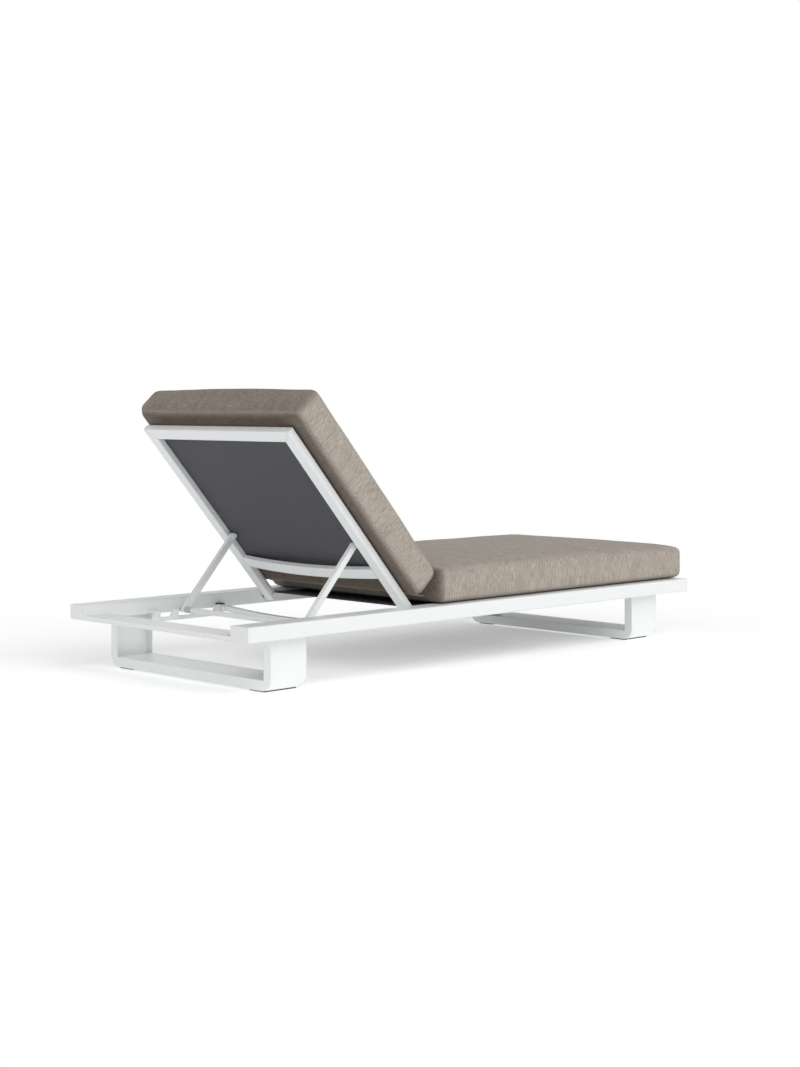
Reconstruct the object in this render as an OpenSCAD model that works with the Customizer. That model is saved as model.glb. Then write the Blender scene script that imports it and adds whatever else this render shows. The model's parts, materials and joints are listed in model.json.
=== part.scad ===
// Sun lounger with a ratcheted backrest: a low tube frame on two sled legs, sling decks and two cushions.
// X runs across, Y along with the head end at +Y, Z up from the floor.

/* [Frame] */
// Length of the side rails with their end caps
frame_length = 2000; // [1800:10:2100]
// Width over the side rails
frame_width = 840; // [760:10:900]
// Width of a side rail
rail_width = 76; // [70:1:90]
// Height of a side rail
rail_height = 45; // [42:1:50]
// Wall of a side rail
rail_wall = 2.5; // [2:0.1:4]
// Corner radius of a side rail
rail_corner = 5; // [3:0.5:6]
// Depth of a cross plate along the lounger
plate_depth = 85; // [60:1:100]
// Thickness of a cross plate
plate_height = 15; // [10:1:15]
// Wall of a cross plate
plate_wall = 2; // [1.5:0.1:3]
// Radius of a drain hole in a cross plate
drain_radius = 3; // [2:0.5:4]

/* [Legs] */
// Height of the legs, from the glides up to the rails
leg_height = 151; // [130:1:180]
// Width of the leg bar
leg_bar_width = 135; // [110:1:150]
// Thickness of the leg bar
leg_bar_thickness = 30; // [24:1:34]
// Wall of the leg bar
leg_wall = 2.5; // [2:0.1:4]
// Outer bend radius of a leg
leg_bend = 36; // [34:1:45]
// Step from a rail's outer face to the leg's outer face
leg_side_inset = 45; // [40:1:46]
// Step from a rail's end to the near face of a leg
leg_end_inset = 120; // [90:1:150]
// Length of a glide across the lounger
glide_length = 62; // [40:1:80]
// Step from a leg's faces to its glides
glide_inset = 8; // [0:1:20]
// Height of a glide
glide_height = 4; // [3:0.5:6]

/* [Cross tubes] */
// Width of a bowed cross tube
tube_width = 20; // [16:1:24]
// Height of a bowed cross tube
tube_height = 16; // [14:1:17]
// Wall of a bowed cross tube
tube_wall = 2; // [1.5:0.1:2.5]
// Drop of a bowed cross tube at its middle
tube_bow = 17; // [10:1:20]
// Step of a cross tube's top below the rails' top
tube_drop = 32; // [32:1:36]
// Length of a cross tube's end socket
socket_length = 20; // [16:1:24]
// Wall of an end socket
socket_wall = 2; // [1.5:0.1:2.5]
// Step from the head end to the cross tube at the ratchet
ratchet_tube_inset = 518; // [515:1:525]
// Step from the hinge line to the seat's first cross tube
seat_tube_head_step = 384; // [374:1:424]
// Step from the foot end to the seat's second cross tube
seat_tube_foot_inset = 500; // [480:1:560]

/* [Backrest] */
// Step from the head end to the hinge line
hinge_inset = 716; // [712:1:720]
// Backrest angle above the horizontal
backrest_angle = 48.5; // [44:0.5:52]
// Length of the backrest from the hinge line to its top edge
backrest_length = 742; // [730:1:748]
// Width of the backrest's tubes
frame_tube_width = 40; // [38:1:42]
// Thickness of the backrest's tubes
frame_tube_thickness = 24; // [23:0.5:25]
// Wall of the backrest's tubes
frame_tube_wall = 2; // [1.5:0.1:2.2]
// Gap between the backrest and a side rail
backrest_gap = 4; // [3:0.5:5]
// Place of the lower cross tube, from the hinge line to its lower edge
lower_tube_start = 146; // [140:1:152]
// Bow of the lower cross tube at its middle
lower_tube_bow = 15; // [8:1:18]

/* [Stays and racks] */
// Distance from the hinge line to the stays' pivots, along the backrest
pivot_along = 279; // [274:1:284]
// Step of the pivots behind the middle of the backrest's tubes
pivot_back = 5; // [4:0.5:5.5]
// Length of a stay between its pivot and the foot bar
stay_length = 295; // [291:1:298]
// Width of a stay
stay_width = 18; // [16:1:19]
// Thickness of a stay
stay_thickness = 15; // [10:1:15]
// Gap between a stay and the backrest's tube, filled by a spacer
stay_spacer = 11; // [8:1:12]
// Radius of the foot bar
foot_bar_radius = 8; // [6:0.5:8.5]
// Thickness of a rack plate
rack_thickness = 8; // [5:0.5:8]
// Height of a rack's base strip
rack_strip = 12; // [8:1:14]
// Width of a tooth's top
tooth_top = 20; // [14:1:24]
// Length of the slope on a tooth's head side
tooth_slope = 9; // [5:1:12]

/* [Slings] */
// Thickness of a sling
sling_thickness = 1.6; // [1.2:0.1:2]
// Radius of the hem bead on a sling's edge
bead_radius = 3.2; // [2.8:0.1:3.4]
// Height of the track that holds the seat sling
track_height = 14; // [12:1:16]
// Width of the track that holds the seat sling
track_width = 12; // [10:1:14]

/* [Cushions] */
// Width of the seat cushion
seat_width = 800; // [760:2:810]
// Width of the back cushion
back_width = 762; // [740:2:790]
// Thickness of the seat cushion at its edges
seat_thickness = 104; // [80:1:110]
// Thickness of the back cushion at its edges
back_thickness = 118; // [90:1:120]
// Gap from the hinge line to the seat cushion
seat_hinge_gap = 84; // [83:1:96]
// Step from the foot end to the seat cushion
seat_foot_inset = 0; // [0:1:40]
// Distance from the hinge line to the back cushion's lower end
back_start = 40; // [39:1:60]
// Distance from the hinge line to the back cushion's upper end
back_end = 798; // [780:1:804]
// Radius of the cushions' edges
cushion_edge = 20; // [18:1:26]
// Rise of a cushion's crown
cushion_crown = 12; // [6:1:14]

/* [Hidden] */

// Smoothness of small circles, very large circles and cushion edges, and the sides of a nut
small_fn = 48;
large_fn = 1440;
soft_fn = 16;
nut_fn = 6;
// Overrun of cuts
overrun = 1;
// Fine gap between parts that move past each other
slip = 0.3;
// Clearance of a pin that turns in a bore
running = 0.05;
// Colours as the object shows them
coat = [0.93, 0.94, 0.94];
sling_colour = [0.2, 0.2, 0.23];
fabric_colour = [0.58, 0.52, 0.46];
nylon_colour = [0.05, 0.05, 0.05];
steel_colour = [0.72, 0.73, 0.74];

// Heights and edges of the frame, its end caps and drain holes
rail_bottom = glide_height + leg_height;
rail_top = rail_bottom + rail_height;
rail_outer = frame_width / 2;
rail_inner = rail_outer - rail_width;
frame_end = frame_length / 2;
cap_thickness = 6;
cap_plug = 15;
cap_fit = 0.2;
plate_top = rail_bottom + plate_height;
drain_side_inset = 12;
drain_end_inset = 7;
leg_outer = rail_outer - leg_side_inset;
leg_inner = leg_outer - leg_bar_thickness;

// Backrest: its tubes' middle plane runs through the hinge line
flat_clearance = 1;
hinge_y = frame_end - hinge_inset;
hinge_z = plate_top + flat_clearance + frame_tube_thickness / 2;
backrest_outer = rail_inner - backrest_gap;
backrest_inner = backrest_outer - frame_tube_width;
backrest_front = frame_tube_thickness / 2;
backrest_tail = 14;
frame_tube_corner = 3;
washer_radius = 12;
bolt_radius = 5;
bolt_head_radius = 9;
bolt_head = 4.5;
bush_wall = 2;
nut_length = 12;
nut_flats_radius = 9.8;
hinge_thread = 4;

// Seat sling, its tracks on the rails' inner faces and the hems across its ends
track_drop = 4;
track_z = rail_top - track_drop - track_height / 2;
hinge_clear = 22;
plate_clear = 3;
sling_head_y = hinge_y - hinge_clear;
sling_foot_y = -frame_end + plate_depth + plate_clear;
bead_fit = 0.2;
groove_radius = bead_radius + bead_fit;
groove_lip = 1.6;
slot_fit = 0.4;
groove_slot = sling_thickness + 2 * slot_fit;
rod_radius = 1.6;
hem_length = 14;
hem_rise = 0.8;
hem_side_gap = 1;
seat_bead_x = rail_inner - track_width + groove_lip + groove_radius;

// Backrest sling in the side tubes' grooves, and the lower tube's front face stepped behind it
groove_wall = 2;
backrest_groove_x = backrest_inner + groove_lip + groove_radius;
backrest_groove_z = backrest_front - groove_wall - groove_radius;
sling_end_gap = 1.5;
sling_lap = 36;
backrest_sling_start = lower_tube_start + frame_tube_width - sling_lap;
backrest_sling_end = backrest_length - frame_tube_width - sling_end_gap;
lower_tube_step = 2 * (backrest_front - backrest_groove_z);

// Bowed cross tubes between the rails
ratchet_tube_y = frame_end - ratchet_tube_inset;
seat_tube_head_y = hinge_y - seat_tube_head_step;
seat_tube_foot_y = -frame_end + seat_tube_foot_inset;
tube_top = rail_top - tube_drop;
tube_end_gap = 3;
tube_half = rail_inner - tube_end_gap;
tube_corner = 3;

// Stays, foot bar and the ratchet that the foot bar's tips ride in
stay_angle = backrest_angle;
stay_outer = backrest_inner - stay_spacer;
stay_inner = stay_outer - stay_thickness;
stay_wall = 2;
spacer_radius = 8;
pin_radius = 4;
pin_head = 4;
pin_head_radius = 7;
sleeve_length = 30;
sleeve_wall = 1.5;
tip_gap = 0.5;
rack_gap = 1;
rack_inner = backrest_inner - tip_gap + rack_gap;
rack_outer = rack_inner + rack_thickness;
rack_top = plate_top - flat_clearance / 2;
tooth_height = 22;
rack_bottom = rack_top - tooth_height - rack_strip;
ratchet_angle = 10.5;
notch_angles = [for (i = [1, 0, -1]) backrest_angle + i * ratchet_angle];
bracket_height = 8;
bracket_length = 20;
rack_post = 12;
weld_step = 4;

// Cushions: the back one's sides clear the rails by a gap when the backrest is flat
cushion_lift = 0.3;
wing_gap = 2;
seat_head_y = hinge_y - seat_hinge_gap;
seat_foot_y = -frame_end + seat_foot_inset;
seat_bottom = rail_top + cushion_lift;
back_bottom = backrest_front + cushion_lift;
wing_lift = rail_top - hinge_z - backrest_front + wing_gap;
crown_inset = 110;
belly_side_inset = 130;
belly_end_inset = 50;
strap_width = 30;
strap_thickness = 1.6;
strap_length = 42;
strap_rise = 38;
strap_inset = 46;

// Where the foot bar lies along the lounger at a backrest angle
function foot_bar_y(angle) =
    hinge_y + (pivot_along + stay_length) * cos(angle) + pivot_back * sin(angle);

// Mirrored copy for the right side
module on_side(side) {
    mirror([side > 0 ? 0 : 1, 0, 0]) children();
}

module on_backrest() {
    translate([0, hinge_y, hinge_z]) rotate([backrest_angle, 0, 0]) children();
}

module on_stay() {
    on_backrest() translate([0, pivot_along, -pivot_back])
        rotate([-backrest_angle - stay_angle, 0, 0]) children();
}

// Profile drawn in X and Z, run along Y
module along_y(start, end) {
    translate([0, end, 0]) rotate([90, 0, 0]) linear_extrude(end - start) children();
}

// Profile drawn in Y and Z, run along X
module along_x(start, end) {
    translate([start, 0, 0]) rotate([90, 0, 90]) linear_extrude(end - start) children();
}

module rod_x(start, end, radius, sides = small_fn) {
    translate([start, 0, 0]) rotate([0, 90, 0]) cylinder(r = radius, h = end - start, $fn = sides);
}

// Rectangle from one corner to the other, with round corners
module round_rect(low, high, radius) {
    union() {
        translate([low.x + radius, low.y]) square([high.x - low.x - 2 * radius, high.y - low.y]);
        translate([low.x, low.y + radius]) square([high.x - low.x, high.y - low.y - 2 * radius]);
        for (x = [low.x + radius, high.x - radius], y = [low.y + radius, high.y - radius])
            translate([x, y]) circle(radius, $fn = small_fn);
    }
}

module round_tube(low, high, radius, wall) {
    difference() {
        round_rect(low, high, radius);
        round_rect([low.x + wall, low.y + wall], [high.x - wall, high.y - wall], radius - wall / 2);
    }
}

// Side rails with their caps
module side_rail(side) {
    color(coat) on_side(side) difference() {
        along_y(-frame_end + cap_thickness, frame_end - cap_thickness)
            round_tube([rail_inner, rail_bottom], [rail_outer, rail_top], rail_corner, rail_wall);
        translate([0, hinge_y, hinge_z])
            rod_x(rail_inner - overrun, rail_inner + rail_wall + overrun, bolt_radius);
    }
}

module end_cap(side, end) {
    color(coat) on_side(side) mirror([0, end > 0 ? 0 : 1, 0]) {
        along_y(frame_end - cap_thickness, frame_end)
            round_rect([rail_inner, rail_bottom], [rail_outer, rail_top], rail_corner);
        along_y(frame_end - cap_thickness - cap_plug, frame_end - cap_thickness)
            round_rect([rail_inner + rail_wall + cap_fit, rail_bottom + rail_wall + cap_fit],
                [rail_outer - rail_wall - cap_fit, rail_top - rail_wall - cap_fit], rail_corner);
    }
}

// Flat cross plates between the rails, drained through two small holes in the top near the outer edge
module cross_plate(end) {
    color(coat) mirror([0, end > 0 ? 0 : 1, 0]) difference() {
        translate([-rail_inner, frame_end - plate_depth, rail_bottom])
            cube([2 * rail_inner, plate_depth, plate_height]);
        translate([-rail_inner - overrun, frame_end - plate_depth + plate_wall, rail_bottom + plate_wall])
            cube([2 * (rail_inner + overrun), plate_depth - 2 * plate_wall, plate_height - 2 * plate_wall]);
        for (side = [-1, 1])
            translate([side * (rail_inner - drain_side_inset), frame_end - drain_end_inset,
                    plate_top - plate_wall - overrun])
                cylinder(r = drain_radius, h = plate_wall + 2 * overrun, $fn = small_fn);
    }
}

// U of a leg, drawn in X and Z, set in by a wall all round
module leg_outline(inset) {
    half = leg_outer - inset;
    low = glide_height + inset;
    bend = leg_bend - inset;
    difference() {
        union() {
            translate([-half, low + bend]) square([2 * half, rail_bottom - low - bend]);
            translate([-half + bend, low]) square([2 * (half - bend), bend]);
            for (side = [-1, 1])
                translate([side * (half - bend), low + bend]) circle(bend, $fn = 2 * small_fn);
        }
        translate([-leg_inner + inset, glide_height + leg_bar_thickness - inset])
            square([2 * (leg_inner - inset), leg_height]);
    }
}

module leg(end) {
    color(coat) mirror([0, end > 0 ? 0 : 1, 0]) difference() {
        along_y(frame_end - leg_end_inset - leg_bar_width, frame_end - leg_end_inset) leg_outline(0);
        along_y(frame_end - leg_end_inset - leg_bar_width + leg_wall, frame_end - leg_end_inset - leg_wall)
            leg_outline(leg_wall);
    }
}

module glide(side, end) {
    glide_x = leg_outer - leg_bend - glide_length;
    glide_y = frame_end - leg_end_inset - leg_bar_width + glide_inset;
    color(nylon_colour) on_side(side) mirror([0, end > 0 ? 0 : 1, 0])
        translate([glide_x, glide_y, 0])
            cube([glide_length, leg_bar_width - 2 * glide_inset, glide_height]);
}

// Ring sector between two depths below the bowed tube's top, drawn in X and Z
module bow_outline(half, bow, top, depth) {
    radius = (half * half + bow * bow) / (2 * bow);
    intersection() {
        translate([0, top - bow + radius]) difference() {
            circle(radius + depth, $fn = large_fn);
            circle(radius, $fn = large_fn);
        }
        translate([-half, top - bow - 2 * depth]) square([2 * half, bow + 3 * depth]);
    }
}

module bowed_tube(half, bow, top, depth, width, wall) {
    difference() {
        along_y(-width / 2, width / 2) bow_outline(half, bow, top, depth);
        along_y(-width / 2 + wall, width / 2 - wall)
            bow_outline(half + overrun, bow, top - wall, depth - 2 * wall);
    }
}

module cross_tube(y) {
    color(coat) translate([0, y, 0])
        bowed_tube(tube_half, tube_bow, tube_top, tube_height, tube_width, tube_wall);
}

// Nylon sockets that hold a cross tube's ends against the rails
module tube_sockets(y) {
    color(nylon_colour) for (side = [-1, 1]) on_side(side) translate([0, y, 0]) difference() {
        along_x(rail_inner - socket_length, rail_inner)
            round_rect([-tube_width / 2 - socket_wall, tube_top - tube_height - 2 * socket_wall],
                [tube_width / 2 + socket_wall, tube_top + socket_wall], tube_corner);
        along_y(-tube_width / 2, tube_width / 2)
            bow_outline(tube_half, tube_bow, tube_top, tube_height);
    }
}

// Tooth with a steep foot side and a sloping head side, as points in Y and Z
function tooth_points(foot_side) = [[foot_side, rack_bottom + rack_strip], [foot_side, rack_top],
    [foot_side + tooth_top, rack_top], [foot_side + tooth_top + tooth_slope, rack_bottom + rack_strip]];

module rack(side) {
    steep_step = foot_bar_radius + slip;
    foot_end = ratchet_tube_y + tube_width / 2;
    pitch = foot_bar_y(notch_angles[1]) - foot_bar_y(notch_angles[0]);
    tooth_sides = concat([foot_bar_y(notch_angles[0]) - pitch + steep_step],
        [for (angle = notch_angles) foot_bar_y(angle) + steep_step]);
    head_end = tooth_sides[len(tooth_sides) - 1] + tooth_top + tooth_slope;
    outline = concat([[foot_end, rack_bottom], [foot_end, rack_top - weld_step],
        [foot_end + rack_post, rack_top - weld_step], [foot_end + rack_post, rack_bottom + rack_strip]],
        [for (foot_side = tooth_sides) each tooth_points(foot_side)], [[head_end, rack_bottom]]);
    color(coat) on_side(side) along_x(rack_inner, rack_outer) polygon(outline);
}

// Short flat that ties a rack's head end to the rail
module rack_bracket(side) {
    head_end = foot_bar_y(notch_angles[2]) + foot_bar_radius + slip + tooth_top;
    color(coat) on_side(side) translate([rack_outer, head_end - bracket_length, rack_top - bracket_height])
        cube([rail_inner - rack_outer, bracket_length, bracket_height]);
}

// Track along a rail's inner face, grooved for the seat sling's bead
module sling_track(side) {
    color(coat) on_side(side) along_y(sling_foot_y, sling_head_y) difference() {
        translate([rail_inner - track_width, track_z - track_height / 2])
            square([track_width, track_height]);
        translate([rail_inner - track_width + groove_lip + groove_radius, track_z])
            circle(groove_radius, $fn = small_fn);
        translate([rail_inner - track_width - overrun, track_z - groove_slot / 2])
            square([overrun + groove_lip + groove_radius, groove_slot]);
    }
}

// Woven sheet with a round bead along both edges, each bead bored for its rod
module sling_profile(bead_x, z) {
    difference() {
        union() {
            translate([-bead_x, z - sling_thickness / 2]) square([2 * bead_x, sling_thickness]);
            for (side = [-1, 1]) translate([side * bead_x, z]) circle(bead_radius, $fn = small_fn);
        }
        for (side = [-1, 1]) translate([side * bead_x, z]) circle(rod_radius, $fn = small_fn);
    }
}

module seat_sling() {
    hem_half = rail_inner - track_width - hem_side_gap;
    color(sling_colour) {
        along_y(sling_foot_y, sling_head_y) sling_profile(seat_bead_x, track_z);
        translate([-hem_half, sling_head_y - hem_length, track_z + sling_thickness / 2])
            cube([2 * hem_half, hem_length, hem_rise]);
        translate([-hem_half, sling_foot_y, track_z + sling_thickness / 2])
            cube([2 * hem_half, hem_length, hem_rise]);
    }
}

module seat_sling_rods() {
    color(nylon_colour) for (side = [-1, 1])
        translate([side * seat_bead_x, sling_head_y, track_z]) rotate([90, 0, 0])
            cylinder(r = rod_radius, h = sling_head_y - sling_foot_y, $fn = small_fn);
}

// Hinge: a bolt on each side turns in a bush through the backrest's side tube
module hinge_bolt(side) {
    color(steel_colour) on_side(side) translate([0, hinge_y, hinge_z]) {
        rod_x(backrest_inner - slip - bolt_head, backrest_inner - slip, bolt_head_radius);
        rod_x(backrest_inner - slip, rail_inner + rail_wall + nut_length + hinge_thread, bolt_radius);
    }
}

module hinge_washer(side) {
    color(nylon_colour) on_side(side) translate([0, hinge_y, hinge_z]) difference() {
        rod_x(backrest_outer + slip, rail_inner, washer_radius);
        rod_x(backrest_outer - overrun, rail_inner + overrun, bolt_radius);
    }
}

module hinge_nuts() {
    color(steel_colour) for (side = [-1, 1]) on_side(side) translate([0, hinge_y, hinge_z]) difference() {
        rod_x(rail_inner + rail_wall, rail_inner + rail_wall + nut_length, nut_flats_radius, nut_fn);
        rod_x(rail_inner, rail_inner + rail_wall + nut_length + overrun, bolt_radius);
    }
}

module hinge_bush(side) {
    color(nylon_colour) on_side(side) translate([0, hinge_y, hinge_z]) difference() {
        rod_x(backrest_inner, backrest_outer, bolt_radius + running + bush_wall);
        rod_x(backrest_inner - overrun, backrest_outer + overrun, bolt_radius + running);
    }
}

// Half of a backrest corner beside its mitre, towards the top tube or the side tube, drawn in X and Y
module mitre_half(upper) {
    reach = frame_tube_width + overrun;
    turn = upper ? -reach : reach;
    translate([0, 0, -frame_tube_thickness]) linear_extrude(2 * frame_tube_thickness)
        polygon([[backrest_outer - reach, backrest_length - reach],
            [backrest_outer + reach, backrest_length + reach],
            [backrest_outer + turn, backrest_length - turn]]);
}

// Backrest side tube with the sling's groove in its inner face
module backrest_side(side) {
    half = frame_tube_thickness / 2;
    color(coat) on_side(side) on_backrest() difference() {
        along_y(-backrest_tail, backrest_length) difference() {
            union() {
                round_tube([backrest_inner, -half], [backrest_outer, half],
                    frame_tube_corner, frame_tube_wall);
                translate([backrest_groove_x, backrest_groove_z])
                    circle(groove_radius + groove_wall, $fn = small_fn);
                translate([backrest_inner, backrest_groove_z - groove_radius])
                    square([groove_lip + groove_radius, 2 * groove_radius]);
            }
            translate([backrest_groove_x, backrest_groove_z]) circle(groove_radius, $fn = small_fn);
            translate([backrest_inner - overrun, backrest_groove_z - groove_slot / 2])
                square([overrun + groove_lip + groove_radius, groove_slot]);
        }
        rod_x(backrest_inner - overrun, backrest_outer + overrun, bolt_radius + running + bush_wall);
        translate([0, pivot_along, -pivot_back])
            rod_x(backrest_inner - overrun, backrest_outer + overrun, pin_radius);
        mitre_half(true);
    }
}

module backrest_top_tube() {
    half = frame_tube_thickness / 2;
    color(coat) on_backrest() difference() {
        along_x(-backrest_outer, backrest_outer) round_tube([backrest_length - frame_tube_width, -half],
            [backrest_length, half], frame_tube_corner, frame_tube_wall);
        for (side = [-1, 1]) on_side(side) mitre_half(false);
    }
}

module backrest_lower_tube() {
    color(coat) on_backrest() translate([0, lower_tube_start + frame_tube_width / 2, 0])
        bowed_tube(backrest_inner, lower_tube_bow, frame_tube_thickness / 2 - lower_tube_step,
            frame_tube_thickness - lower_tube_step, frame_tube_width, frame_tube_wall);
}

module backrest_sling() {
    color(sling_colour) on_backrest() along_y(backrest_sling_start, backrest_sling_end)
        sling_profile(backrest_groove_x, backrest_groove_z);
}

module backrest_sling_rods() {
    color(nylon_colour) on_backrest() for (side = [-1, 1])
        translate([side * backrest_groove_x, backrest_sling_end, backrest_groove_z]) rotate([90, 0, 0])
            cylinder(r = rod_radius, h = backrest_sling_end - backrest_sling_start, $fn = small_fn);
}

// Stay pivots: a headed pin and a spacer on each backrest tube
module stay_pin(side) {
    color(steel_colour) on_side(side) on_stay() {
        rod_x(stay_inner - slip - pin_head, stay_inner - slip, pin_head_radius);
        rod_x(stay_inner - slip, backrest_outer, pin_radius);
    }
}

module stay_spacer(side) {
    color(nylon_colour) on_side(side) on_stay() difference() {
        rod_x(stay_outer + slip, backrest_inner, spacer_radius);
        rod_x(stay_outer - overrun, backrest_inner + overrun, pin_radius);
    }
}

// Outline of a stay with round ends, drawn in Y and Z
module stay_outline(inset) {
    half = stay_width / 2 - inset;
    union() {
        translate([0, -half]) square([stay_length, 2 * half]);
        for (y = [0, stay_length]) translate([y, 0]) circle(half, $fn = small_fn);
    }
}

module stay(side) {
    solid_end = stay_width / 2;
    color(coat) on_side(side) on_stay() difference() {
        along_x(stay_inner, stay_outer) stay_outline(0);
        translate([stay_inner + stay_wall, solid_end, -solid_end + stay_wall])
            cube([stay_thickness - 2 * stay_wall, stay_length - 2 * solid_end, stay_width - 2 * stay_wall]);
        rod_x(stay_inner - overrun, stay_outer + overrun, pin_radius + running);
    }
}

module foot_bar() {
    color(coat) on_stay() translate([0, stay_length, 0]) difference() {
        rod_x(-stay_inner, stay_inner, foot_bar_radius);
        rod_x(-stay_inner - overrun, stay_inner + overrun, foot_bar_radius - stay_wall);
    }
}

module foot_bar_sleeve(side) {
    color(nylon_colour) on_side(side) on_stay() translate([0, stay_length, 0]) difference() {
        rod_x(stay_inner - sleeve_length, stay_inner, foot_bar_radius + sleeve_wall);
        rod_x(stay_inner - sleeve_length - overrun, stay_inner + overrun, foot_bar_radius);
    }
}

module foot_bar_tip(side) {
    color(nylon_colour) on_side(side) on_stay() translate([0, stay_length, 0])
        rod_x(stay_outer, backrest_inner - tip_gap, foot_bar_radius);
}

// Rounded slab from a low to a high corner, crowned on top and, by its belly, underneath
module cushion_slab(low, high, belly) {
    hull() {
        for (x = [low.x + cushion_edge, high.x - cushion_edge],
                y = [low.y + cushion_edge, high.y - cushion_edge],
                z = [low.z + cushion_edge, high.z - cushion_edge])
            translate([x, y, z]) sphere(cushion_edge, $fn = soft_fn);
        for (x = [low.x + crown_inset, high.x - crown_inset],
                y = [low.y + crown_inset, high.y - crown_inset])
            translate([x, y, high.z + cushion_crown - cushion_edge]) sphere(cushion_edge, $fn = soft_fn);
        for (x = [low.x + belly_side_inset, high.x - belly_side_inset],
                y = [low.y + belly_end_inset, high.y - belly_end_inset])
            translate([x, y, low.z - belly + cushion_edge]) sphere(cushion_edge, $fn = soft_fn);
    }
}

module seat_cushion() {
    color(fabric_colour)
        cushion_slab([-seat_width / 2, seat_foot_y, seat_bottom],
            [seat_width / 2, seat_head_y, seat_bottom + seat_thickness], 0);
}

// Back cushion: its sides lie higher than its middle, as they hang over the rails when the backrest is flat
module back_cushion() {
    color(fabric_colour) on_backrest()
        cushion_slab([-back_width / 2, back_start, back_bottom + wing_lift],
            [back_width / 2, back_end, back_bottom + back_thickness], wing_lift);
}

// Short fabric tabs sewn to the back cushion's lower end
module cushion_straps() {
    strap_x = back_width / 2 - strap_inset - strap_width;
    color(fabric_colour) for (side = [-1, 1]) on_side(side) on_backrest()
        translate([strap_x, back_start - strap_length, back_bottom + strap_rise])
            cube([strap_width, strap_length, strap_thickness]);
}

side_rail(1);  // side_rail_left
side_rail(-1);  // side_rail_right
end_cap(1, 1);  // end_cap_head_left
end_cap(-1, 1);  // end_cap_head_right
end_cap(1, -1);  // end_cap_foot_left
end_cap(-1, -1);  // end_cap_foot_right
cross_plate(1);  // head_cross_plate
cross_plate(-1);  // foot_cross_plate
leg(1);  // head_leg
leg(-1);  // foot_leg
glide(1, 1);  // glide_head_left
glide(-1, 1);  // glide_head_right
glide(1, -1);  // glide_foot_left
glide(-1, -1);  // glide_foot_right
cross_tube(ratchet_tube_y);  // ratchet_cross_tube
cross_tube(seat_tube_head_y);  // seat_cross_tube_head
cross_tube(seat_tube_foot_y);  // seat_cross_tube_foot
tube_sockets(ratchet_tube_y);  // ratchet_tube_sockets
tube_sockets(seat_tube_head_y);  // seat_tube_sockets_head
tube_sockets(seat_tube_foot_y);  // seat_tube_sockets_foot
rack(1);  // rack_left
rack(-1);  // rack_right
rack_bracket(1);  // rack_bracket_left
rack_bracket(-1);  // rack_bracket_right
sling_track(1);  // sling_track_left
sling_track(-1);  // sling_track_right
seat_sling();
seat_sling_rods();
hinge_bolt(1);  // hinge_bolt_left
hinge_bolt(-1);  // hinge_bolt_right
hinge_washer(1);  // hinge_washer_left
hinge_washer(-1);  // hinge_washer_right
hinge_nuts();
backrest_side(1);  // backrest_side_left
backrest_side(-1);  // backrest_side_right
backrest_top_tube();
backrest_lower_tube();
backrest_sling();
backrest_sling_rods();
hinge_bush(1);  // hinge_bush_left
hinge_bush(-1);  // hinge_bush_right
stay_pin(1);  // stay_pin_left
stay_pin(-1);  // stay_pin_right
stay_spacer(1);  // stay_spacer_left
stay_spacer(-1);  // stay_spacer_right
stay(1);  // stay_left
stay(-1);  // stay_right
foot_bar();
foot_bar_sleeve(1);  // foot_bar_sleeve_left
foot_bar_sleeve(-1);  // foot_bar_sleeve_right
foot_bar_tip(1);  // foot_bar_tip_left
foot_bar_tip(-1);  // foot_bar_tip_right
seat_cushion();
back_cushion();
cushion_straps();
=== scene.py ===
import json
import math

import bmesh
import bpy
import numpy
from mathutils import Matrix, Vector, noise


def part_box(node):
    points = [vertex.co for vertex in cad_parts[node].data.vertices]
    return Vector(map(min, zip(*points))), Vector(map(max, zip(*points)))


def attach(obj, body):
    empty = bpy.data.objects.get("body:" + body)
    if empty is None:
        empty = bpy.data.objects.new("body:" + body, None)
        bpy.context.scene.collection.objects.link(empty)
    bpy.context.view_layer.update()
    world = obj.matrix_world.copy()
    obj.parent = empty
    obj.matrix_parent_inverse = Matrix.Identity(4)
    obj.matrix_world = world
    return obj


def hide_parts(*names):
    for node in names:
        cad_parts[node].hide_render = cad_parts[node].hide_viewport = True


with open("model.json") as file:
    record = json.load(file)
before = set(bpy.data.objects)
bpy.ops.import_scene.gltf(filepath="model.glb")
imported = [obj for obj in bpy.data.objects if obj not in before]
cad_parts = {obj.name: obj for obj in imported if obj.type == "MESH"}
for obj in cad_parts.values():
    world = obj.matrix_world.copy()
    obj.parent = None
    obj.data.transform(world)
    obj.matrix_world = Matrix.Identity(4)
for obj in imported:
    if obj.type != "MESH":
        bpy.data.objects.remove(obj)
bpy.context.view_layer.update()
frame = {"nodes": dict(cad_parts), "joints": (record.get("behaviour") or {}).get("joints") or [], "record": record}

# Camera
# Level, at waist height, behind the head end and off to the right side, with a long lens. The picture is
# shifted and not tilted, so that upright edges stay upright.
camera_place = (-4.2965, 4.2613, 0.8197)
camera_turn = math.radians(225.22)
camera_lens = 83.1
camera_reach = 100
frame_shift = -0.1654
camera_data = bpy.data.cameras.new("camera")
camera_data.lens = camera_lens
camera_data.sensor_fit = "HORIZONTAL"
camera_data.shift_y = frame_shift
camera_data.clip_end = camera_reach
camera = bpy.data.objects.new("camera", camera_data)
camera.location = camera_place
camera.rotation_euler = (math.pi / 2, 0, camera_turn)
bpy.context.scene.collection.objects.link(camera)
bpy.context.scene.camera = camera
bpy.context.scene.view_settings.view_transform = "Standard"


# Studio
# A white floor that keeps a soft shadow, a white surround, a broad light from above the right side, a
# weaker one from the head end, and a wide low one from the right that reaches in under the backrest.
floor_size = 400
floor_roughness = 1.0
floor_albedo = 0.95
floor_glow = 0.27
floor_lift = 0.335
fill_light = 0.37
surround_light = 1


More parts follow.
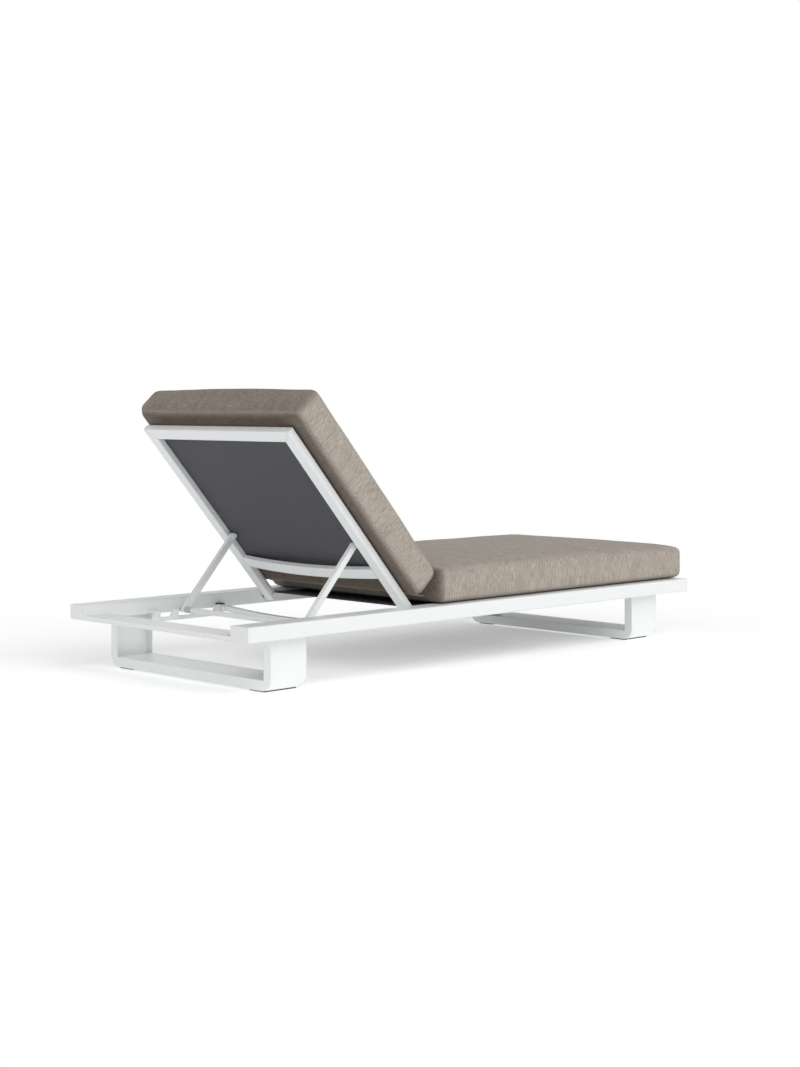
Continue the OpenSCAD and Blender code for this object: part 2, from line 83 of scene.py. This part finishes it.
def new_material(name, roughness, specular):
    material = bpy.data.materials.new(name)
    material.use_nodes = True
    shader = material.node_tree.nodes["Principled BSDF"]
    shader.inputs["Roughness"].default_value = roughness
    shader.inputs["Specular IOR Level"].default_value = specular
    return material, material.node_tree, shader


def add_node(tree, kind, sockets, **settings):
    """Adds a node. Each socket is given a value, or another node's output, which is linked to it."""
    node = tree.nodes.new(kind)
    for name, value in settings.items():
        setattr(node, name, value)
    for name, value in sockets.items():
        if isinstance(value, bpy.types.NodeSocket):
            tree.links.new(value, node.inputs[name])
        else:
            node.inputs[name].default_value = value
    return node


def deselect():
    for thing in bpy.context.selected_objects:
        thing.select_set(False)


def broad_light(name, towards, strength, spread):
    light_data = bpy.data.lights.new(name, "SUN")
    light_data.energy = strength
    light_data.angle = math.radians(spread)
    light = bpy.data.objects.new(name, light_data)
    light.rotation_euler = Vector(towards).to_track_quat("Z", "Y").to_euler()
    bpy.context.scene.collection.objects.link(light)


deselect()
bpy.ops.mesh.primitive_plane_add(size=floor_size, location=(0, 0, 0))
floor = bpy.context.active_object
floor.name = "studio_floor"
floor_material, tree, shader = new_material("studio_floor_white", floor_roughness, 0)
shader.inputs["Base Color"].default_value = (floor_albedo, floor_albedo, floor_albedo, 1)
shader.inputs["Emission Color"].default_value = (1, 1, 1, 1)
rays = add_node(tree, "ShaderNodeLightPath", {})
glow = add_node(tree, "ShaderNodeMapRange", {
    "Value": rays.outputs["Is Camera Ray"],
    "To Min": floor_glow,
    "To Max": floor_lift,
})
tree.links.new(glow.outputs["Result"], shader.inputs["Emission Strength"])
floor.data.materials.append(floor_material)

world = bpy.data.worlds.new("studio_surround")
bpy.context.scene.world = world
world.use_nodes = True
tree = world.node_tree
surround = tree.nodes["Background"]
surround.inputs["Color"].default_value = (1, 1, 1, 1)
rays = add_node(tree, "ShaderNodeLightPath", {})
mirror_or_eye = add_node(tree, "ShaderNodeMath", {
    0: rays.outputs["Is Camera Ray"],
    1: rays.outputs["Is Glossy Ray"],
}, operation="MAXIMUM")
level = add_node(tree, "ShaderNodeMapRange", {
    "Value": mirror_or_eye.outputs[0],
    "To Min": fill_light,
    "To Max": surround_light,
})
tree.links.new(level.outputs["Result"], surround.inputs["Strength"])

broad_light("light_right", towards=(-0.74, -0.04, 0.66), strength=1.26, spread=50)
broad_light("light_head", towards=(0.1, 1, 0.3), strength=0.38, spread=60)
broad_light("light_low", towards=(-1, 0.5, 0.12), strength=0.47, spread=80)


# Frame
# White satin powder coat on aluminium tube: a fine orange-peel skin over welded and capped tubes, whose
# edges are a little rounder on the backrest's tubes. The caps are a shade duller.
frame_white = (0.86, 0.885, 0.88)
cap_white = (0.855, 0.878, 0.868)
coat_roughness = 0.36
cap_roughness = 0.42
roughness_spread = 0.05
coat_specular = 0.45
coat_round = 0.0015
tube_round = 0.004
edge_samples = 4
cloud_scale = 7
cloud_detail = 3
cloud_dim_share = 0.985
peel_scale = 700
peel_detail = 2
peel_strength = 0.12
peel_depth = 0.0001


def set_material(material, names):
    for name in names:
        slots = frame["nodes"][name].data.materials
        slots.clear()
        slots.append(material)


def powder_coat(name, colour, roughness, edge_round):
    material, tree, shader = new_material(name, roughness, coat_specular)
    place = add_node(tree, "ShaderNodeTexCoord", {}).outputs["Object"]
    cloud = add_node(tree, "ShaderNodeTexNoise", {
        "Vector": place,
        "Scale": cloud_scale,
        "Detail": cloud_detail,
    }).outputs["Fac"]
    tint = add_node(tree, "ShaderNodeMix", {
        "Factor": cloud,
        "A": (*[value * cloud_dim_share for value in colour], 1),
        "B": (*colour, 1),
    }, data_type="RGBA")
    rough = add_node(tree, "ShaderNodeMapRange", {
        "Value": cloud,
        "To Min": roughness - roughness_spread,
        "To Max": roughness + roughness_spread,
    })
    peel = add_node(tree, "ShaderNodeTexNoise", {
        "Vector": place,
        "Scale": peel_scale,
        "Detail": peel_detail,
    })
    edge = add_node(tree, "ShaderNodeBevel", {"Radius": edge_round}, samples=edge_samples)
    skin = add_node(tree, "ShaderNodeBump", {
        "Strength": peel_strength,
        "Distance": peel_depth,
        "Height": peel.outputs["Fac"],
        "Normal": edge.outputs["Normal"],
    })
    tree.links.new(tint.outputs["Result"], shader.inputs["Base Color"])
    tree.links.new(rough.outputs["Result"], shader.inputs["Roughness"])
    tree.links.new(skin.outputs["Normal"], shader.inputs["Normal"])
    return material


slot_of = {row["node"]: row["material_slot"] for row in frame["record"]["subparts"]}
coat = powder_coat("powder_coat_white", frame_white, coat_roughness, coat_round)
tube_coat = powder_coat("powder_coat_white_tube", frame_white, coat_roughness, tube_round)
cap_coat = powder_coat("end_cap_white", cap_white, cap_roughness, coat_round)
set_material(coat, [name for name, slot in slot_of.items() if slot == "powder_coat"])
set_material(tube_coat, [name for name in slot_of if name.startswith("backrest_") and "sling" not in name])
set_material(coat, ["stay_pin_left", "stay_pin_right"])
set_material(cap_coat, [name for name, slot in slot_of.items() if slot == "end_cap_paint"])


# Nylon and steel
# Moulded nylon, black in the glides, sockets and bushes and grey in the foot bar's sleeves and tips and in
# the stays' spacers, and brushed stainless bolts and nuts at the hinge.
black = (0.028, 0.028, 0.03)
grey = (0.52, 0.53, 0.53)
steel_grey = (0.62, 0.62, 0.61)
nylon_roughness = 0.45
nylon_grain = 900
steel_roughness = 0.3
steel_grain = 500
dull_specular = 0.5
smoother_share = 0.8
rougher_share = 1.2
speck_strength = 0.15
speck_depth = 0.0001


def plain_stuff(name, colour, roughness, metal, grain):
    material, tree, shader = new_material(name, roughness, dull_specular)
    shader.inputs["Base Color"].default_value = (*colour, 1)
    shader.inputs["Metallic"].default_value = metal
    speck = add_node(tree, "ShaderNodeTexNoise", {
        "Vector": add_node(tree, "ShaderNodeTexCoord", {}).outputs["Object"],
        "Scale": grain,
    })
    rough = add_node(tree, "ShaderNodeMapRange", {
        "Value": speck.outputs["Fac"],
        "To Min": roughness * smoother_share,
        "To Max": roughness * rougher_share,
    })
    skin = add_node(tree, "ShaderNodeBump", {
        "Strength": speck_strength,
        "Distance": speck_depth,
        "Height": speck.outputs["Fac"],
    })
    tree.links.new(rough.outputs["Result"], shader.inputs["Roughness"])
    tree.links.new(skin.outputs["Normal"], shader.inputs["Normal"])
    return material


nylon = plain_stuff("nylon_black", black, nylon_roughness, 0, nylon_grain)
grey_nylon = plain_stuff("nylon_grey", grey, nylon_roughness, 0, nylon_grain)
steel = plain_stuff("steel_brushed", steel_grey, steel_roughness, 1, steel_grain)
grey_starts = ("foot_bar_sleeve", "foot_bar_tip", "stay_spacer")
set_material(nylon, [name for name, slot in slot_of.items() if slot == "black_nylon"])
set_material(grey_nylon, [name for name in slot_of if name.startswith(grey_starts)])
set_material(steel, ["hinge_bolt_left", "hinge_bolt_right", "hinge_nuts"])


# Cushions
# Foam slabs in sewn covers: rounded, crowned, their sides drawn in between the corners, with a seam near the
# lower edge all round. Each one's underside is flat where it lies, and its sides stand on the frame.
edge_segments = 8
round_profile = 0.5
block_grain = 0.007
swell = 0.006
foam_pressure = 4
cloth_quality = 5
cloth_mass = 0.3
cloth_stretch = 15
cloth_shear = 8
cloth_bend = 2
cloth_frames = 20
even_rounds = 30
flat_cut = 0.006
corner_share = 0.7
side_pull = 0.002
end_crown_share = 0.3
side_crown = 0.003
end_bulge = 0.003
ripple = 0.0012
ripple_length = 0.16
belly_inset = 0.13
cushion_seam = 0.010
seam_width = 0.002
seam_depth = 0.0012
seam_catch = seam_width / 4
# Painted shade on the covers: strength on the ends, where it turns full, and its reach up from the underside.
end_painted_shade_share = 0.51
painted_shade_turn_share = 0.25
under_painted_shade_share = 0.65


def only(thing):
    deselect()
    thing.select_set(True)
    bpy.context.view_layer.objects.active = thing


def settle(thing):
    only(thing)
    bpy.ops.object.transform_apply(location=True, rotation=True, scale=True)


def apply_all(thing):
    only(thing)
    for modifier in list(thing.modifiers):
        bpy.ops.object.modifier_apply(modifier=modifier.name)


def smooth_step(value, low, high):
    share = min(max((value - low) / (high - low), 0), 1)
    return share * share * (3 - 2 * share)


def foam_block(name, half, length, thickness, edge):
    deselect()
    bpy.ops.mesh.primitive_cube_add(size=1, location=(0, length / 2, thickness / 2))
    block = bpy.context.active_object
    block.name = name
    block.scale = (2 * half, length, thickness)
    settle(block)
    bpy.ops.object.mode_set(mode="EDIT")
    bpy.ops.mesh.select_all(action="SELECT")
    bpy.ops.mesh.bevel(offset=edge, segments=edge_segments, profile=round_profile, affect="EDGES")
    bpy.ops.object.mode_set(mode="OBJECT")
    remesh = block.modifiers.new("remesh", "REMESH")
    remesh.mode = "VOXEL"
    remesh.voxel_size = block_grain
    apply_all(block)
    return block


def fill_with_foam(block):
    """Swells the block with air pressure, and evens out how far each point and its neighbours move."""
    rest = numpy.array([vertex.co[:] for vertex in block.data.vertices])
    ends = numpy.array([edge.vertices[:] for edge in block.data.edges])
    only(block)
    cloth = block.modifiers.new("cloth", "CLOTH")
    settings = cloth.settings
    settings.quality = cloth_quality
    settings.mass = cloth_mass
    settings.tension_stiffness = cloth_stretch
    settings.compression_stiffness = cloth_stretch
    settings.shear_stiffness = cloth_shear
    settings.bending_stiffness = cloth_bend
    settings.use_pressure = True
    settings.uniform_pressure_force = foam_pressure
    settings.effector_weights.gravity = 0
    cloth.point_cache.frame_start = 1
    cloth.point_cache.frame_end = cloth_frames
    for step in range(1, cloth_frames + 1):
        bpy.context.scene.frame_set(step)
    apply_all(block)
    bpy.context.scene.frame_set(1)
    moves = numpy.array([vertex.co[:] for vertex in block.data.vertices]) - rest
    reach = numpy.linalg.norm(moves, axis=1, keepdims=True)
    most = 2 * swell
    moves *= numpy.minimum(1, most / numpy.maximum(reach, most))
    for smoothing in range(even_rounds):
        total = moves.copy()
        count = numpy.ones((len(moves), 1))
        for near, far in ((0, 1), (1, 0)):
            numpy.add.at(total, ends[:, near], moves[ends[:, far]])
            numpy.add.at(count, ends[:, near], 1)
        moves = total / count
    for vertex, place in zip(block.data.vertices, rest + moves):
        vertex.co = place


def fit_box(block, low, high):
    points = [vertex.co for vertex in block.data.vertices]
    old_low = Vector([min(point[axis] for point in points) for axis in range(3)])
    old_high = Vector([max(point[axis] for point in points) for axis in range(3)])
    for point in points:
        for axis in range(3):
            share = (point[axis] - old_low[axis]) / (old_high[axis] - old_low[axis])
            point[axis] = low[axis] + share * (high[axis] - low[axis])


def roll_edges(block, half, length, edge, roll):
    """Rounds the lower edges of the sides and of the far end further, from radius edge to radius roll."""
    def fall(radius, height):
        short = min(max(radius - height, 0), radius)
        return radius - math.sqrt(radius ** 2 - short ** 2)

    for vertex in block.data.vertices:
        point = vertex.co
        pull = max(fall(roll, point.z) - fall(edge, point.z), 0)
        side = smooth_step(abs(point.x), half - 2 * roll, half - edge)
        end = smooth_step(point.y, length - 2 * roll, length - edge)
        point.x -= math.copysign(pull * side, point.x)
        point.y -= pull * end


def crown(block, half, length, thickness, edge, rise, side_lift):
    """Crowns the top, draws the sides in, bulges the ends, and lifts the underside along its sides."""
    for vertex in block.data.vertices:
        point = vertex.co
        across = point.x / half
        along = 2 * point.y / length - 1
        height = smooth_step(point.z, 0, thickness)
        side = smooth_step(abs(across), corner_share, 1)
        end = smooth_step(abs(along), corner_share, 1)
        wave = noise.noise(point / ripple_length) * ripple
        point.x -= math.copysign(side_pull * side * (1 - along ** 2), across)
        point.y += math.copysign(end_bulge * height * end * (1 - across ** 2), along)
        middle = rise * (1 - across ** 2) * (1 - end_crown_share * along ** 4)
        point.z += height * (middle + side_crown * (1 - along ** 2) + wave)
        lowest = side_lift * smooth_step(abs(point.x), half - belly_inset, half - edge)
        point.z = max(point.z, lowest)


def sew_seam(block, height):
    only(block)
    for level in (height - seam_width, height, height + seam_width):
        bpy.ops.object.mode_set(mode="EDIT")
        bpy.ops.mesh.select_all(action="SELECT")
        bpy.ops.mesh.bisect(plane_co=(0, 0, level), plane_no=(0, 0, 1))
        bpy.ops.object.mode_set(mode="OBJECT")
    for vertex in block.data.vertices:
        if abs(vertex.co.z - height) < seam_catch:
            vertex.co -= vertex.normal * seam_depth


def lay_weave(block, half, length, thickness, edge):
    """Writes how far across and along the cloth each corner lies, as if the sides were folded out flat."""
    weave = block.data.uv_layers.new(name="weave")
    for loop in block.data.loops:
        place = block.data.vertices[loop.vertex_index].co
        down = thickness - place.z
        side = smooth_step(abs(place.x), half - edge, half)
        end = smooth_step(abs(place.y - length / 2), length / 2 - edge, length / 2)
        across = place.x + math.copysign(side * down, place.x)
        along = place.y + math.copysign(end * down, place.y - length / 2)
        weave.data[loop.index].uv = (across, along)


def mark_painted_shade(block, length, edge, roll):
    """Marks the ends and the underside, where the cloth's colour is darkened as painted shade."""
    painted_shade = block.data.attributes.new("painted_shade", "FLOAT", "POINT")
    for vertex in block.data.vertices:
        off_middle = abs(vertex.co.y - length / 2)
        end = smooth_step(off_middle, length / 2 - edge, length / 2 - edge * painted_shade_turn_share)
        under = 1 - smooth_step(vertex.co.z, 0, roll * under_painted_shade_share)
        painted_shade.data[vertex.index].value = max(end_painted_shade_share * end, under)


def make_cushion(name, half, length, thickness, edge, roll, rise, side_lift, place):
    block = foam_block(name, half - swell, length - 2 * swell, thickness - swell, edge)
    fill_with_foam(block)
    fit_box(block, (-half, 0, -flat_cut), (half, length, thickness))
    roll_edges(block, half, length, edge, roll)
    crown(block, half, length, thickness, edge, rise, side_lift)
    sew_seam(block, cushion_seam + side_lift)
    lay_weave(block, half, length, thickness, edge)
    mark_painted_shade(block, length, edge, roll)
    block.data.transform(place)
    only(block)
    bpy.ops.object.shade_smooth()
    return block


# The seat's cover starts from the CAD solid's box less its crown. It is a little thicker, and longer at the
# hinge, where the two cushions' foam gives way when the backrest stands upright.
seat_low, seat_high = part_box("seat_cushion")
seat_edge = 0.020
seat_crown = 0.005
seat_head_ease = 0.014
seat_top_ease = 0.014
cad_crown = 0.012
seat = make_cushion(
    "seat_cushion_cover",
    half=(seat_high.x - seat_low.x) / 2,
    length=seat_high.y - seat_low.y + seat_head_ease,
    thickness=seat_high.z - seat_low.z - cad_crown + seat_top_ease,
    edge=seat_edge,
    roll=seat_edge,
    rise=seat_crown,
    side_lift=0,
    place=Matrix.Translation((0, seat_low.y, seat_low.z)),
)

# The back's cover lies on the backrest at the notch of the photograph, a little off the middle to the right.
hinge = Vector(frame["joints"][0]["pos_m"])
backrest_turn = math.radians(48.5)
on_backrest = Matrix.Translation(hinge) @ Matrix.Rotation(backrest_turn, 4, "X")
back_half = 0.380
back_length = 0.758
back_thickness = 0.121
back_edge = 0.026
back_roll = 0.036
back_crown = 0.012
back_shift = -0.0135
back_start = 0.040
back_bottom = 0.0123
back_side_lift = 0.007
back = make_cushion(
    "back_cushion_cover",
    half=back_half,
    length=back_length,
    thickness=back_thickness,
    edge=back_edge,
    roll=back_roll,
    rise=back_crown,
    side_lift=back_side_lift,
    place=on_backrest @ Matrix.Translation((back_shift, back_start, back_bottom)),
)


# Cover cloth
# A taupe melange weave: streaks of pale and dark yarn that run across the cushion, crossed fine threads with
# a soft fuzz, and painted shade that darkens the ends and the underside.
cover_pale = (0.53, 0.472, 0.415)
cover_dark = (0.275, 0.236, 0.199)
# Painted shade colour, multiplied into the cloth on the ends and the underside.
painted_shade_tint = (0.21, 0.17, 0.14)
cover_roughness = 0.9
cover_specular = 0.2
cover_sheen = 0.12
sheen_roughness = 0.5
fine_streaks = (110, 800, 1)
wide_streaks = (42, 330, 1)
streak_detail = 2
cloud_streaks = (14, 22, 1)
cloud_streak_detail = 3
wide_share = 0.6
cloud_share = 0.15
yarn_low = 0.38
yarn_high = 0.62
cover_thread = 0.0011
cover_wobble = 0.6
fuzz_share = 0.4
cover_relief = 0.5
cover_depth = 0.0006
band_repeat = math.pi / 10


def crossed_threads(tree, weave, thread, wobble):
    """Multiplies bands across the cloth with bands along it. A band repeats with each thread."""
    bands = [
        add_node(tree, "ShaderNodeTexWave", {
            "Vector": weave,
            "Scale": band_repeat / thread,
            "Distortion": wobble,
        }, wave_type="BANDS", bands_direction=direction)
        for direction in ("X", "Y")
    ]
    cross = add_node(tree, "ShaderNodeMath", {
        0: bands[0].outputs["Fac"],
        1: bands[1].outputs["Fac"],
    }, operation="MULTIPLY")
    return cross.outputs[0]


def streaks(tree, weave, fineness, detail):
    stretch = add_node(tree, "ShaderNodeMapping", {"Vector": weave, "Scale": fineness})
    texture = add_node(tree, "ShaderNodeTexNoise", {
        "Vector": stretch.outputs["Vector"],
        "Scale": 1,
        "Detail": detail,
    })
    return texture.outputs["Fac"]


def blend_of(tree, first, second, share):
    mix = add_node(tree, "ShaderNodeMix", {"Factor": share, "A": first, "B": second})
    return mix.outputs["Result"]


def woven_melange(name):
    material, tree, shader = new_material(name, cover_roughness, cover_specular)
    shader.inputs["Sheen Weight"].default_value = cover_sheen
    shader.inputs["Sheen Roughness"].default_value = sheen_roughness
    weave = add_node(tree, "ShaderNodeUVMap", {}, uv_map="weave").outputs["UV"]
    fine = streaks(tree, weave, fine_streaks, streak_detail)
    wide = streaks(tree, weave, wide_streaks, streak_detail)
    cloud = streaks(tree, weave, cloud_streaks, cloud_streak_detail)
    yarns = add_node(tree, "ShaderNodeMapRange", {
        "Value": blend_of(tree, blend_of(tree, fine, wide, wide_share), cloud, cloud_share),
        "From Min": yarn_low,
        "From Max": yarn_high,
    })
    tint = add_node(tree, "ShaderNodeMix", {
        "Factor": yarns.outputs["Result"],
        "A": (*cover_dark, 1),
        "B": (*cover_pale, 1),
    }, data_type="RGBA")
    # Painted shade: the marked ends and underside are multiplied darker.
    painted_shade = add_node(tree, "ShaderNodeAttribute", {}, attribute_name="painted_shade")
    shaded = add_node(tree, "ShaderNodeMix", {
        "Factor": painted_shade.outputs["Fac"],
        "A": tint.outputs["Result"],
        "B": (*painted_shade_tint, 1),
    }, data_type="RGBA", blend_type="MULTIPLY")
    relief = add_node(tree, "ShaderNodeBump", {
        "Strength": cover_relief,
        "Distance": cover_depth,
        "Height": blend_of(tree, crossed_threads(tree, weave, cover_thread, cover_wobble), fine, fuzz_share),
    })
    tree.links.new(shaded.outputs["Result"], shader.inputs["Base Color"])
    tree.links.new(relief.outputs["Normal"], shader.inputs["Normal"])
    return material


cover_cloth = woven_melange("cushion_fabric_taupe")
for cushion, body, node in ((seat, "base", "seat_cushion"), (back, "backrest", "back_cushion")):
    cushion.data.materials.append(cover_cloth)
    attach(cushion, body)
    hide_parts(node)


# Slings
# Dark woven mesh, each side edge folded round a rod; the seat's ends are hemmed. The seat's sling spans the
# tracks on the rails, and the backrest's sling the grooves in its tubes.
sling_pale = (0.12, 0.117, 0.135)
sling_dark = (0.055, 0.053, 0.064)
sling_roughness = 0.62
sling_specular = 0.35
sling_thread = 0.0014
sling_wobble = 0.3
sling_relief = 0.4
sling_depth = 0.0004
bead_round = 0.0024
bead_reach = 0.0032
bead_turn = math.radians(330)
bead_steps = 11
flat_steps = 48
row_step = 0.02
cloth_thickness = 0.0016
crease_angle = math.radians(40)
hem_length = 0.014
hem_half = 0.331
hem_rise = 0.0004
back_bead_x = 0.305
back_level = 0.0066
back_sling_start = 0.150
back_sling_end = 0.7005


def sling_path(bead_x, level):
    points = []
    for side in (-1, 1):
        loop = []
        for step in range(bead_steps + 1):
            turn = math.pi - bead_turn * step / bead_steps
            loop.append((side * (bead_x + bead_round * math.cos(turn)), level + bead_round * math.sin(turn)))
        inner = side * (bead_x - bead_round)
        if side < 0:
            points += loop[::-1]
            points += [(inner * (1 - 2 * step / flat_steps), level) for step in range(1, flat_steps)]
        else:
            points += loop
    return points


def cloth_strip(name, path, start, end, place):
    """Runs a cross-section, path, along Y. Gives the strip of cloth, its flat width and its flat length."""
    rows = max(round((end - start) / row_step), 2)
    reach = [0]
    for first, second in zip(path, path[1:]):
        reach.append(reach[-1] + math.dist(first, second))
    shape = bmesh.new()
    weave = shape.loops.layers.uv.new("weave")
    grid = []
    for row in range(rows + 1):
        along = start + (end - start) * row / rows
        grid.append([shape.verts.new((x, along, z)) for x, z in path])
    for row in range(rows):
        for column in range(len(path) - 1):
            corners = ((row, column), (row, column + 1), (row + 1, column + 1), (row + 1, column))
            face = shape.faces.new([grid[high][across] for high, across in corners])
            for loop, (high, across) in zip(face.loops, corners):
                loop[weave].uv = (reach[across], start + (end - start) * high / rows)
    mesh = bpy.data.meshes.new(name)
    shape.to_mesh(mesh)
    shape.free()
    strip = bpy.data.objects.new(name, mesh)
    bpy.context.scene.collection.objects.link(strip)
    wall = strip.modifiers.new("wall", "SOLIDIFY")
    wall.thickness = cloth_thickness
    wall.offset = 0
    apply_all(strip)
    strip.data.transform(place)
    only(strip)
    bpy.ops.object.shade_smooth_by_angle(angle=crease_angle)
    return strip, reach[-1], end - start


def woven_mesh(name):
    material, tree, shader = new_material(name, sling_roughness, sling_specular)
    weave = add_node(tree, "ShaderNodeUVMap", {}, uv_map="weave").outputs["UV"]
    cross = crossed_threads(tree, weave, sling_thread, sling_wobble)
    tint = add_node(tree, "ShaderNodeMix", {
        "Factor": cross,
        "A": (*sling_dark, 1),
        "B": (*sling_pale, 1),
    }, data_type="RGBA")
    relief = add_node(tree, "ShaderNodeBump", {
        "Strength": sling_relief,
        "Distance": sling_depth,
        "Height": cross,
    })
    tree.links.new(tint.outputs["Result"], shader.inputs["Base Color"])
    tree.links.new(relief.outputs["Normal"], shader.inputs["Normal"])
    return material


sling_low, sling_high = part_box("seat_sling")
seat_level = (sling_low.z + sling_high.z) / 2
seat_path = sling_path(sling_high.x - bead_reach, seat_level)
seat_sling, seat_cut, seat_run = cloth_strip(
    "seat_sling_cloth", seat_path, sling_low.y, sling_high.y, Matrix()
)
hem_level = seat_level + cloth_thickness + hem_rise
hem_path = [(hem_half * (2 * step / flat_steps - 1), hem_level) for step in range(flat_steps + 1)]
hems = []
for name, start in (("seat_sling_hem_head", sling_high.y - hem_length), ("seat_sling_hem_foot", sling_low.y)):
    hem = cloth_strip(name, hem_path, start, start + hem_length, Matrix())[0]
    hems.append(hem)

back_path = sling_path(back_bead_x, back_level)
back_sling, back_cut, back_run = cloth_strip(
    "backrest_sling_cloth", back_path, back_sling_start, back_sling_end, on_backrest
)

sling_cloth = woven_mesh("sling_mesh_dark")
for cloth, body in ((seat_sling, "base"), (hems[0], "base"), (hems[1], "base"), (back_sling, "backrest")):
    cloth.data.materials.append(sling_cloth)
    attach(cloth, body)
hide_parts("seat_sling")
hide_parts("backrest_sling")


# Straps
# A short tab of the cover's cloth at each side of the back cushion's lower end, sewn in and curling forwards.
# Each is a strip on a part of a circle, its root sunk in the cushion.
strap_width = 0.030
strap_length = 0.052
strap_side = 0.312
strap_height = 0.030
strap_curl = math.radians(53)
strap_steps = 10
strap_sink = 0.004
curl_radius = strap_length / strap_curl
strap_path = []
for step in range(strap_steps + 1):
    turn = strap_curl * step / strap_steps
    strap_path.append((curl_radius * math.sin(turn), curl_radius * (1 - math.cos(turn))))
for side, name in ((-1, "cushion_strap_right"), (1, "cushion_strap_left")):
    middle = side * (strap_side + strap_width / 2)
    root = (middle, back_start + strap_sink, back_bottom + strap_height)
    place = on_backrest @ Matrix.Translation(root) @ Matrix.Rotation(-math.pi / 2, 4, "Z")
    strap, strap_cut, strap_run = cloth_strip(name, strap_path, -strap_width / 2, strap_width / 2, place)
    strap.data.materials.append(cover_cloth)
    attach(strap, "backrest")
    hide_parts("cushion_straps")
